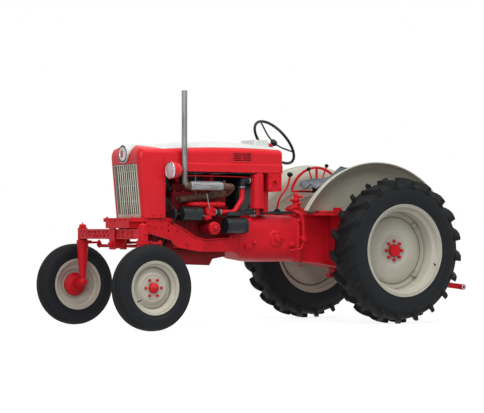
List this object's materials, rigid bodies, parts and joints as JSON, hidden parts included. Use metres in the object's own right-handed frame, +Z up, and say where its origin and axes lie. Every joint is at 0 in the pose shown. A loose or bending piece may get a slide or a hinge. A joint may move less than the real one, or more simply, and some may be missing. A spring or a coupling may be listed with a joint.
{
  "type": "farm tractor",
  "caption": "High-clearance row-crop farm tractor with wide front axle, engine offset to the left, open engine, clamshell fenders and rear lift links.",
  "frame": {"origin": "on the ground, at the bottom centre of the tractor's box", "axes": "+X forward, +Y to the tractor's left, +Z up"},
  "size_m": [3.604, 1.604, 1.86],
  "materials": {
    "red_paint": "gloss",
    "wheel_paint": "satin",
    "fender_paint": "satin",
    "white_paint": "gloss",
    "tyre_rubber": "matte",
    "black_paint": "satin",
    "grille_metal": "satin",
    "muffler_steel": "satin",
    "exhaust_steel": "satin",
    "rusty_iron": "rough",
    "seat_paint": "satin",
    "bright_steel": "machined",
    "radiator_core": "matte"
  },
  "bodies": {
    "chassis": {"transmission_case": "red_paint", "rear_axle": "red_paint", "lift_cover": "red_paint", "engine_block": "red_paint", "cylinder_head": "red_paint", "oil_pan": "red_paint", "intake_manifold": "red_paint", "air_cleaner": "red_paint", "air_pipe": "red_paint", "fuel_tank": "red_paint", "front_frame": "red_paint", "front_axle_beam": "red_paint", "drawbar": "red_paint", "nose_cowl": "red_paint", "hood_side_left": "red_paint", "hood_side_right": "red_paint", "headlight_left": "red_paint", "headlight_right": "red_paint", "rear_support": "red_paint", "seat_support": "red_paint", "footrest_left": "red_paint", "footrest_right": "red_paint", "fender_left": "fender_paint", "fender_right": "fender_paint", "hood_top": "white_paint", "dash_panel": "white_paint", "generator": "black_paint", "starter_motor": "black_paint", "steering_column": "black_paint", "gear_lever": "black_paint", "grille": "grille_metal", "muffler": "muffler_steel", "exhaust_pipe": "exhaust_steel", "exhaust_manifold": "rusty_iron", "seat_pan": "seat_paint", "radiator": "radiator_core"},
    "rear_wheel_left": {"rear_tyre_left": "tyre_rubber", "rear_wheel_left": "wheel_paint", "rear_hub_left": "red_paint"},
    "rear_wheel_right": {"rear_tyre_right": "tyre_rubber", "rear_wheel_right": "wheel_paint", "rear_hub_right": "red_paint"},
    "front_wheel_left": {"front_tyre_left": "tyre_rubber", "front_wheel_left": "wheel_paint", "front_hub_left": "red_paint"},
    "front_wheel_right": {"front_tyre_right": "tyre_rubber", "front_wheel_right": "wheel_paint", "front_hub_right": "red_paint"},
    "knuckle_left": {"knuckle_left": "red_paint"},
    "knuckle_right": {"knuckle_right": "red_paint"},
    "tie_rod": {"tie_rod": "red_paint"},
    "steering_arm": {"steering_arm": "red_paint"},
    "steering_wheel": {"steering_wheel": "black_paint"},
    "fan": {"fan": "red_paint"},
    "pto_shaft": {"pto_shaft": "bright_steel"},
    "lift_arms": {"lift_arms": "red_paint"},
    "lower_link_left": {"lower_link_left": "red_paint"},
    "lower_link_right": {"lower_link_right": "red_paint"},
    "lift_rod_left": {"lift_rod_left": "red_paint"},
    "lift_rod_right": {"lift_rod_right": "red_paint"}
  },
  "joints": [
    {"name": "rear_wheel_left_spin", "type": "hinge", "parent": "chassis", "child": "rear_wheel_left", "pos_m": [-0.828, 0.66, 0.602], "axis": [0, 1, 0], "continuous": true},
    {"name": "steer_left", "type": "hinge", "parent": "chassis", "child": "knuckle_left", "pos_m": [1.472, 0.5, 0.74], "axis": [0, 0, 1], "range_deg": [-32, 32]},
    {"name": "front_wheel_left_spin", "type": "hinge", "parent": "knuckle_left", "child": "front_wheel_left", "pos_m": [1.472, 0.64, 0.33], "axis": [0, 1, 0], "continuous": true},
    {"name": "rear_wheel_right_spin", "type": "hinge", "parent": "chassis", "child": "rear_wheel_right", "pos_m": [-0.828, -0.66, 0.602], "axis": [0, 1, 0], "continuous": true},
    {"name": "steer_right", "type": "hinge", "parent": "chassis", "child": "knuckle_right", "pos_m": [1.472, -0.5, 0.74], "axis": [0, 0, 1], "range_deg": [-32, 32]},
    {"name": "front_wheel_right_spin", "type": "hinge", "parent": "knuckle_right", "child": "front_wheel_right", "pos_m": [1.472, -0.64, 0.33], "axis": [0, 1, 0], "continuous": true},
    {"name": "steering_arm_swing", "type": "hinge", "parent": "chassis", "child": "steering_arm", "pos_m": [1.362, 0.06, 0.74], "axis": [0, 0, 1], "range_deg": [-32, 32]},
    {"name": "tie_rod_swing", "type": "hinge", "parent": "knuckle_left", "child": "tie_rod", "pos_m": [1.322, 0.5, 0.644], "axis": [0, 0, 1], "range_deg": [-32, 32]},
    {"name": "steering_wheel_turn", "type": "hinge", "parent": "chassis", "child": "steering_wheel", "pos_m": [-0.058, 0, 1.5], "axis": [-0.788, 0, 0.6157], "range_deg": [-385, 385]},
    {"name": "fan_spin", "type": "hinge", "parent": "chassis", "child": "fan", "pos_m": [1.192, 0.2, 1.06], "axis": [1, 0, 0], "continuous": true},
    {"name": "pto_spin", "type": "hinge", "parent": "chassis", "child": "pto_shaft", "pos_m": [-1.028, 0.2, 0.56], "axis": [1, 0, 0], "continuous": true},
    {"name": "lift", "type": "hinge", "parent": "chassis", "child": "lift_arms", "pos_m": [-0.948, 0, 0.9], "axis": [0, 1, 0], "range_deg": [0, 38]},
    {"name": "lower_link_left_hinge", "type": "hinge", "parent": "chassis", "child": "lower_link_left", "pos_m": [-0.888, 0.21, 0.4], "axis": [0, 1, 0], "range_deg": [0, 38]},
    {"name": "lift_rod_left_hinge", "type": "hinge", "parent": "lower_link_left", "child": "lift_rod_left", "pos_m": [-1.18527, 0.27942, 0.35959], "axis": [0, 1, 0], "range_deg": [-38, 0]},
    {"name": "lower_link_right_hinge", "type": "hinge", "parent": "chassis", "child": "lower_link_right", "pos_m": [-0.888, -0.21, 0.4], "axis": [0, 1, 0], "range_deg": [0, 38]},
    {"name": "lift_rod_right_hinge", "type": "hinge", "parent": "lower_link_right", "child": "lift_rod_right", "pos_m": [-1.18527, -0.27942, 0.35959], "axis": [0, 1, 0], "range_deg": [-38, 0]}
  ],
  "couplings": [
    {"joint": "steer_right", "follows": "steer_left", "ratio": 1},
    {"joint": "steering_arm_swing", "follows": "steer_left", "ratio": 1},
    {"joint": "tie_rod_swing", "follows": "steer_left", "ratio": -1},
    {"joint": "steering_wheel_turn", "follows": "steer_left", "ratio": 12},
    {"joint": "lower_link_left_hinge", "follows": "lift", "ratio": 1},
    {"joint": "lower_link_right_hinge", "follows": "lift", "ratio": 1},
    {"joint": "lift_rod_left_hinge", "follows": "lift", "ratio": -1},
    {"joint": "lift_rod_right_hinge", "follows": "lift", "ratio": -1}
  ]
}
